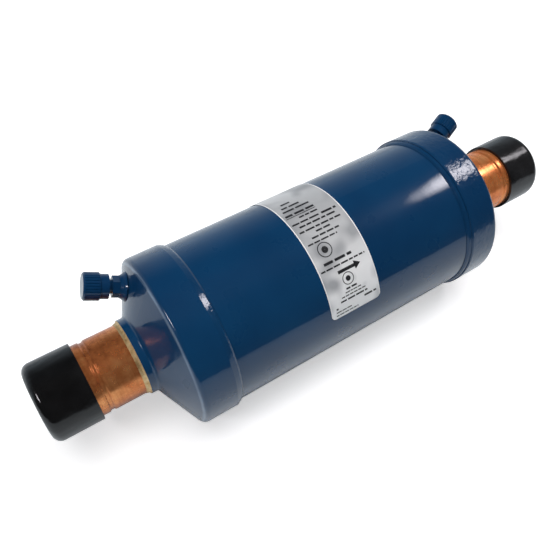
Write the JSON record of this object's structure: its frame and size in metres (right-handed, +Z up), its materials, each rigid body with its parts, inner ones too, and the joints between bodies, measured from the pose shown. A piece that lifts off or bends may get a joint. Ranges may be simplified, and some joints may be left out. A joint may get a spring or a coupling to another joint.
{
  "type": "filter drier",
  "caption": "Sealed refrigerant line filter drier: painted shell with conical end caps, brazing sockets with dust caps, and side access valves with screw caps.",
  "frame": {"origin": "centre of the inlet socket mouth, on the axis of the shell", "axes": "+X along the flow from inlet to outlet, +Z up, +Y to the side on which the access valves lean"},
  "size_m": [0.3198, 0.0926, 0.0926],
  "materials": {
    "paint": "gloss",
    "foil": "satin",
    "zinc": "satin",
    "desiccant": "matte",
    "felt": "matte",
    "spring_steel": "satin",
    "copper": "satin",
    "braze": "satin",
    "vinyl": "gloss",
    "seal": "matte",
    "brass": "satin"
  },
  "bodies": {
    "housing": {"shell_tube": "paint", "label": "foil", "outlet_core_seat": "zinc", "desiccant_core": "desiccant", "core_wrap": "felt", "outlet_core_gasket": "felt", "inlet_core_gasket": "felt", "core_inner_screen": "zinc", "inlet_core_plate": "zinc", "core_spring": "spring_steel", "inlet_end_cap": "paint", "inlet_connector": "copper", "inlet_braze_ring": "braze", "inlet_girth_weld": "paint", "inlet_valve_body": "paint", "inlet_valve_braze_ring": "paint", "inlet_valve_core": "brass", "inlet_valve_spring": "spring_steel", "outlet_end_cap": "paint", "outlet_connector": "copper", "outlet_braze_ring": "braze", "outlet_girth_weld": "paint", "outlet_valve_body": "paint", "outlet_valve_braze_ring": "paint", "outlet_valve_core": "brass", "outlet_valve_spring": "spring_steel"},
    "inlet_dust_cover": {"inlet_dust_cap": "vinyl"},
    "inlet_cap_lining": {"inlet_cap_seal": "seal"},
    "inlet_screw_cap": {"inlet_valve_cap": "paint"},
    "inlet_pin": {"inlet_valve_pin": "brass"},
    "outlet_dust_cover": {"outlet_dust_cap": "vinyl"},
    "outlet_cap_lining": {"outlet_cap_seal": "seal"},
    "outlet_screw_cap": {"outlet_valve_cap": "paint"},
    "outlet_pin": {"outlet_valve_pin": "brass"}
  },
  "joints": [
    {"name": "inlet_dust_cap_pull", "type": "slide", "parent": "housing", "child": "inlet_dust_cover", "axis": [-1, 0, 0], "range_m": [0, 0.08]},
    {"name": "inlet_cap_lift", "type": "slide", "parent": "housing", "child": "inlet_cap_lining", "axis": [-0.8988, 0.2759, 0.3407], "range_m": [0, 0.01016]},
    {"name": "inlet_cap_turn", "type": "hinge", "parent": "inlet_cap_lining", "child": "inlet_screw_cap", "pos_m": [0.04501, 0.02496, 0.03082], "axis": [-0.8988, 0.2759, 0.3407], "range_deg": [0, 2880]},
    {"name": "inlet_pin_press", "type": "slide", "parent": "housing", "child": "inlet_pin", "axis": [0.8988, -0.2759, -0.3407], "range_m": [0, 0.0015], "stiffness_N_per_m": 800, "springref_m": -0.001, "deforming": ["inlet_valve_spring"]},
    {"name": "outlet_dust_cap_pull", "type": "slide", "parent": "housing", "child": "outlet_dust_cover", "axis": [1, 0, 0], "range_m": [0, 0.08]},
    {"name": "outlet_cap_lift", "type": "slide", "parent": "housing", "child": "outlet_cap_lining", "axis": [0.8988, 0.2759, 0.3407], "range_m": [0, 0.01016]},
    {"name": "outlet_cap_turn", "type": "hinge", "parent": "outlet_cap_lining", "child": "outlet_screw_cap", "pos_m": [0.26619, 0.02496, 0.03082], "axis": [0.8988, 0.2759, 0.3407], "range_deg": [0, 2880]},
    {"name": "outlet_pin_press", "type": "slide", "parent": "housing", "child": "outlet_pin", "axis": [-0.8988, -0.2759, -0.3407], "range_m": [0, 0.0015], "stiffness_N_per_m": 800, "springref_m": -0.001, "deforming": ["outlet_valve_spring"]}
  ],
  "couplings": [
    {"joint": "inlet_cap_turn", "follows": "inlet_cap_lift", "rad_per_m": 4947.4},
    {"joint": "outlet_cap_turn", "follows": "outlet_cap_lift", "rad_per_m": 4947.4}
  ]
}
